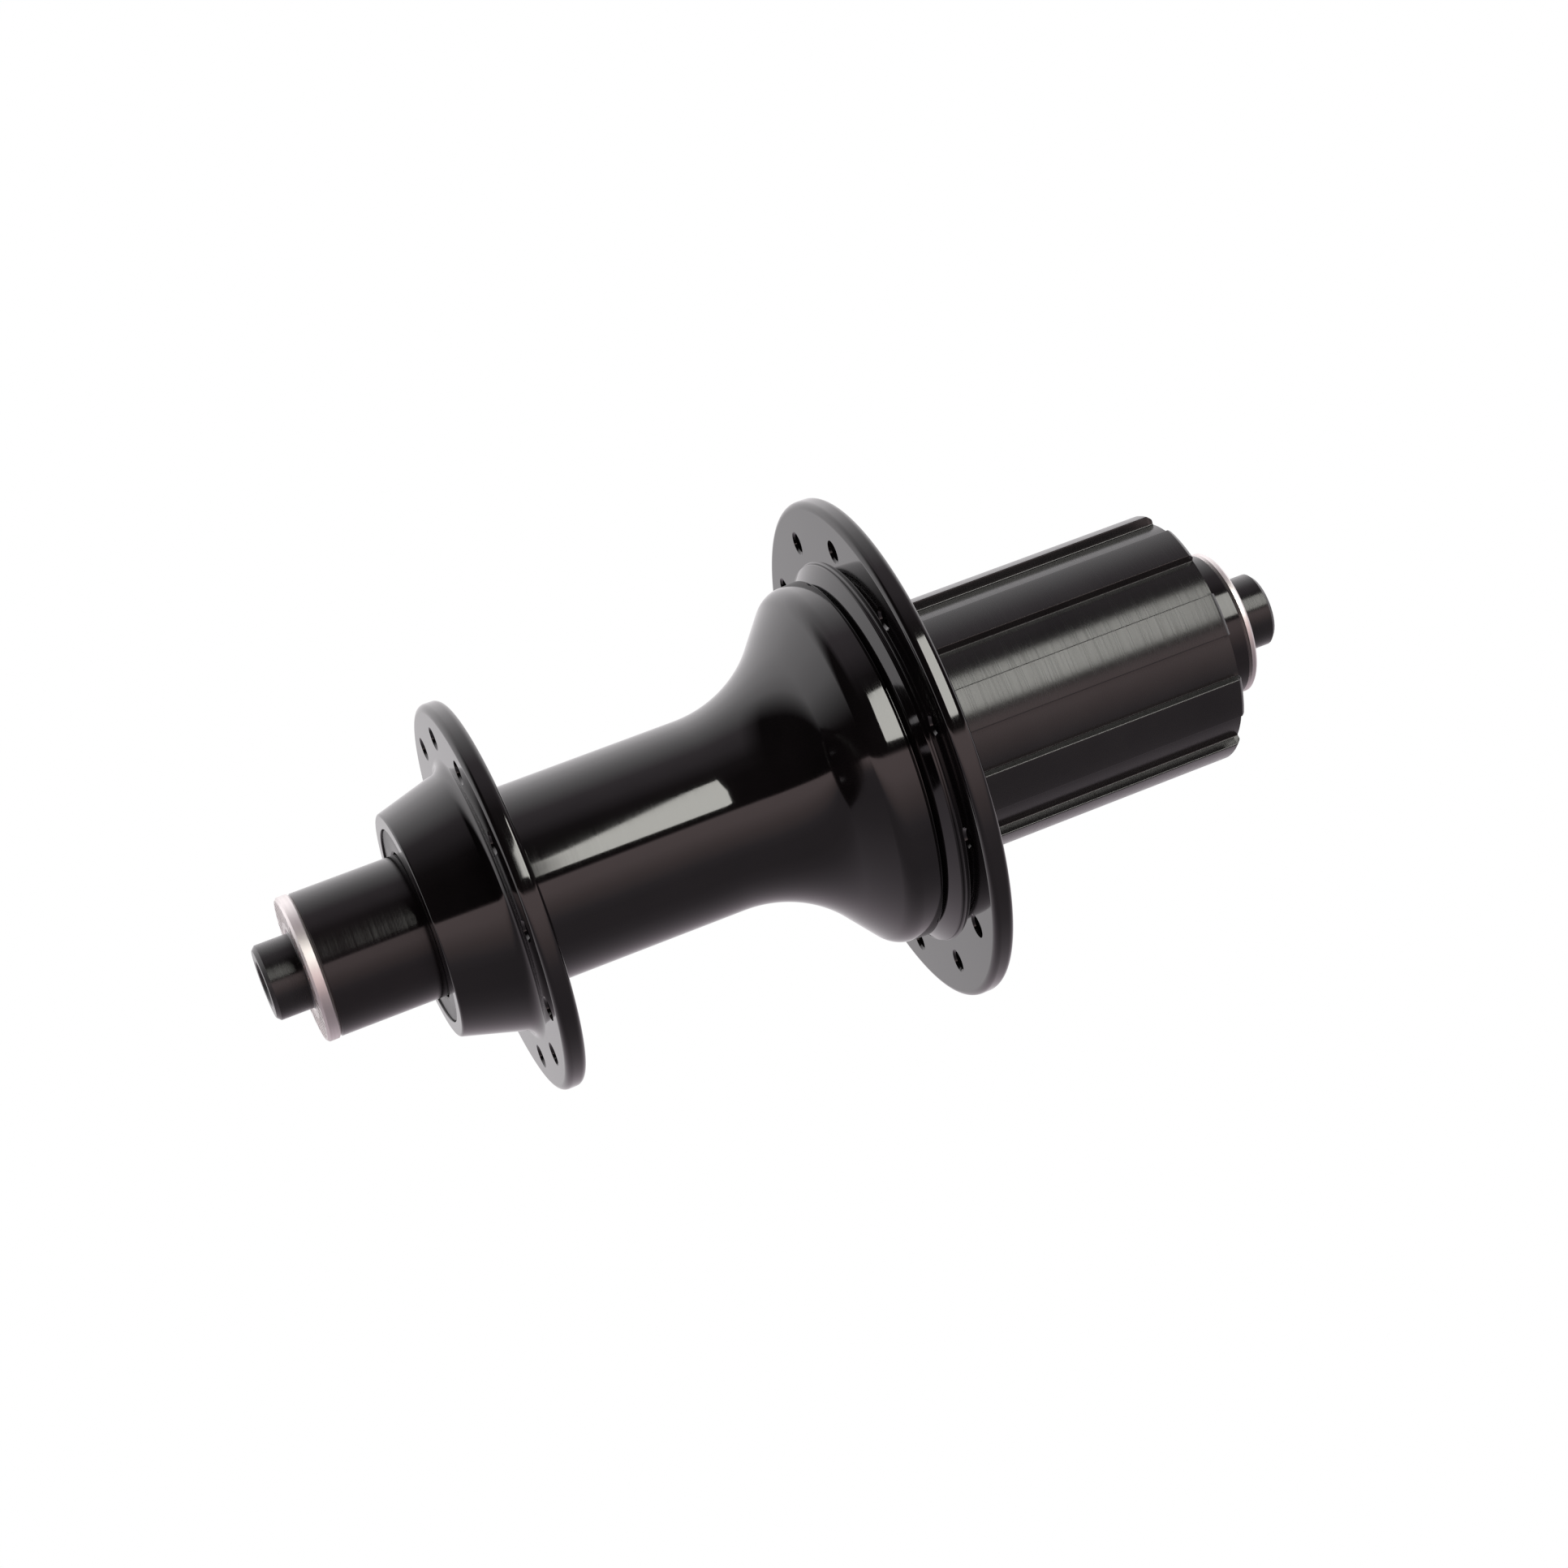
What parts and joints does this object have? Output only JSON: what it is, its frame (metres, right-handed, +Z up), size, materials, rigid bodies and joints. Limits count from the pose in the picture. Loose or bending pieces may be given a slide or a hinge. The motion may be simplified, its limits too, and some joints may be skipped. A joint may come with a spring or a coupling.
{
  "type": "rear bicycle hub",
  "caption": "Quick-release rear road hub with flared black shell, unequal flanges, splined freehub, cartridge bearings and pawl ratchet.",
  "frame": {"origin": "on the axle line, midway between the two dropout faces", "axes": "+X forward on the bicycle, +Y along the axle to the rider's left (the non-drive end), +Z up"},
  "size_m": [0.068, 0.1403, 0.068],
  "materials": {
    "gloss_black_anodised": "polished and black anodised, glossy",
    "black_anodised": "turned and black anodised, semi-gloss",
    "satin_black": "black anodised, satin, with turning marks",
    "silver_aluminium": "machined, clear anodised",
    "hardened_steel": "hardened and ground",
    "spring_steel": "blued spring steel",
    "bearing_steel": "ground and polished",
    "cage_brass": "pressed brass",
    "rubber": "matt black nitrile rubber",
    "seal_rubber": "dark blue moulded rubber"
  },
  "bodies": {
    "axle_assembly": {"axle": "satin_black", "left_end_cap": "black_anodised", "right_end_cap": "black_anodised", "left_washer": "silver_aluminium", "right_washer": "silver_aluminium", "end_cap_o_rings": "rubber", "bearing_spacer": "silver_aluminium", "freehub_inner_spacer": "silver_aluminium", "left_bearing_inner_race": "bearing_steel", "right_bearing_inner_race": "bearing_steel", "freehub_bearing_a_inner_race": "bearing_steel", "freehub_bearing_b_inner_race": "bearing_steel"},
    "shell": {"hub_shell": "gloss_black_anodised", "ratchet_ring": "hardened_steel", "left_dust_seal": "rubber", "ratchet_seal": "rubber", "left_bearing_outer_race": "bearing_steel", "left_bearing_seals": "seal_rubber", "right_bearing_outer_race": "bearing_steel", "right_bearing_seals": "seal_rubber"},
    "freehub": {"freehub_body": "satin_black", "freehub_outer_spacer": "silver_aluminium", "freehub_circlip": "spring_steel", "freehub_dust_seal": "rubber", "pawl_springs": "spring_steel", "freehub_bearing_a_outer_race": "bearing_steel", "freehub_bearing_a_seals": "seal_rubber", "freehub_bearing_b_outer_race": "bearing_steel", "freehub_bearing_b_seals": "seal_rubber"},
    "pawl_1": {"pawl_1": "hardened_steel"},
    "pawl_2": {"pawl_2": "hardened_steel"},
    "pawl_3": {"pawl_3": "hardened_steel"},
    "left_balls": {"left_bearing_balls": "bearing_steel", "left_bearing_cage": "cage_brass"},
    "right_balls": {"right_bearing_balls": "bearing_steel", "right_bearing_cage": "cage_brass"},
    "freehub_balls_a": {"freehub_bearing_a_balls": "bearing_steel", "freehub_bearing_a_cage": "cage_brass"},
    "freehub_balls_b": {"freehub_bearing_b_balls": "bearing_steel", "freehub_bearing_b_cage": "cage_brass"}
  },
  "joints": [
    {"name": "hub_spin", "type": "hinge", "parent": "axle_assembly", "child": "shell", "pos_m": [0, 0, 0], "axis": [0, 1, 0], "continuous": true},
    {"name": "freehub_spin", "type": "hinge", "parent": "axle_assembly", "child": "freehub", "pos_m": [0, -0.0341, 0], "axis": [0, 1, 0], "continuous": true},
    {"name": "pawl_1_fold", "type": "hinge", "parent": "freehub", "child": "pawl_1", "pos_m": [0.0123, -0.0121, 0.007], "axis": [0, 1, 0], "range_deg": [-12, 0], "stiffness_Nm_per_rad": 0.01},
    {"name": "pawl_2_fold", "type": "hinge", "parent": "freehub", "child": "pawl_2", "pos_m": [-0.01221, -0.0121, 0.00715], "axis": [0, 1, 0], "range_deg": [-12, 0], "stiffness_Nm_per_rad": 0.01},
    {"name": "pawl_3_fold", "type": "hinge", "parent": "freehub", "child": "pawl_3", "pos_m": [-0.00009, -0.0121, -0.01415], "axis": [0, 1, 0], "range_deg": [-12, 0], "stiffness_Nm_per_rad": 0.01},
    {"name": "left_cage_orbit", "type": "hinge", "parent": "axle_assembly", "child": "left_balls", "pos_m": [0, 0.0444, 0], "axis": [0, 1, 0], "continuous": true},
    {"name": "right_cage_orbit", "type": "hinge", "parent": "axle_assembly", "child": "right_balls", "pos_m": [0, -0.0041, 0], "axis": [0, 1, 0], "continuous": true},
    {"name": "freehub_cage_a_orbit", "type": "hinge", "parent": "axle_assembly", "child": "freehub_balls_a", "pos_m": [0, -0.0203, 0], "axis": [0, 1, 0], "continuous": true},
    {"name": "freehub_cage_b_orbit", "type": "hinge", "parent": "axle_assembly", "child": "freehub_balls_b", "pos_m": [0, -0.0476, 0], "axis": [0, 1, 0], "continuous": true}
  ],
  "couplings": [
    {"joint": "pawl_2_fold", "follows": "pawl_1_fold", "ratio": 1},
    {"joint": "pawl_3_fold", "follows": "pawl_1_fold", "ratio": 1},
    {"joint": "left_cage_orbit", "follows": "hub_spin", "ratio": 0.5882},
    {"joint": "right_cage_orbit", "follows": "hub_spin", "ratio": 0.5923},
    {"joint": "freehub_cage_a_orbit", "follows": "freehub_spin", "ratio": 0.5611},
    {"joint": "freehub_cage_b_orbit", "follows": "freehub_spin", "ratio": 0.5611}
  ]
}
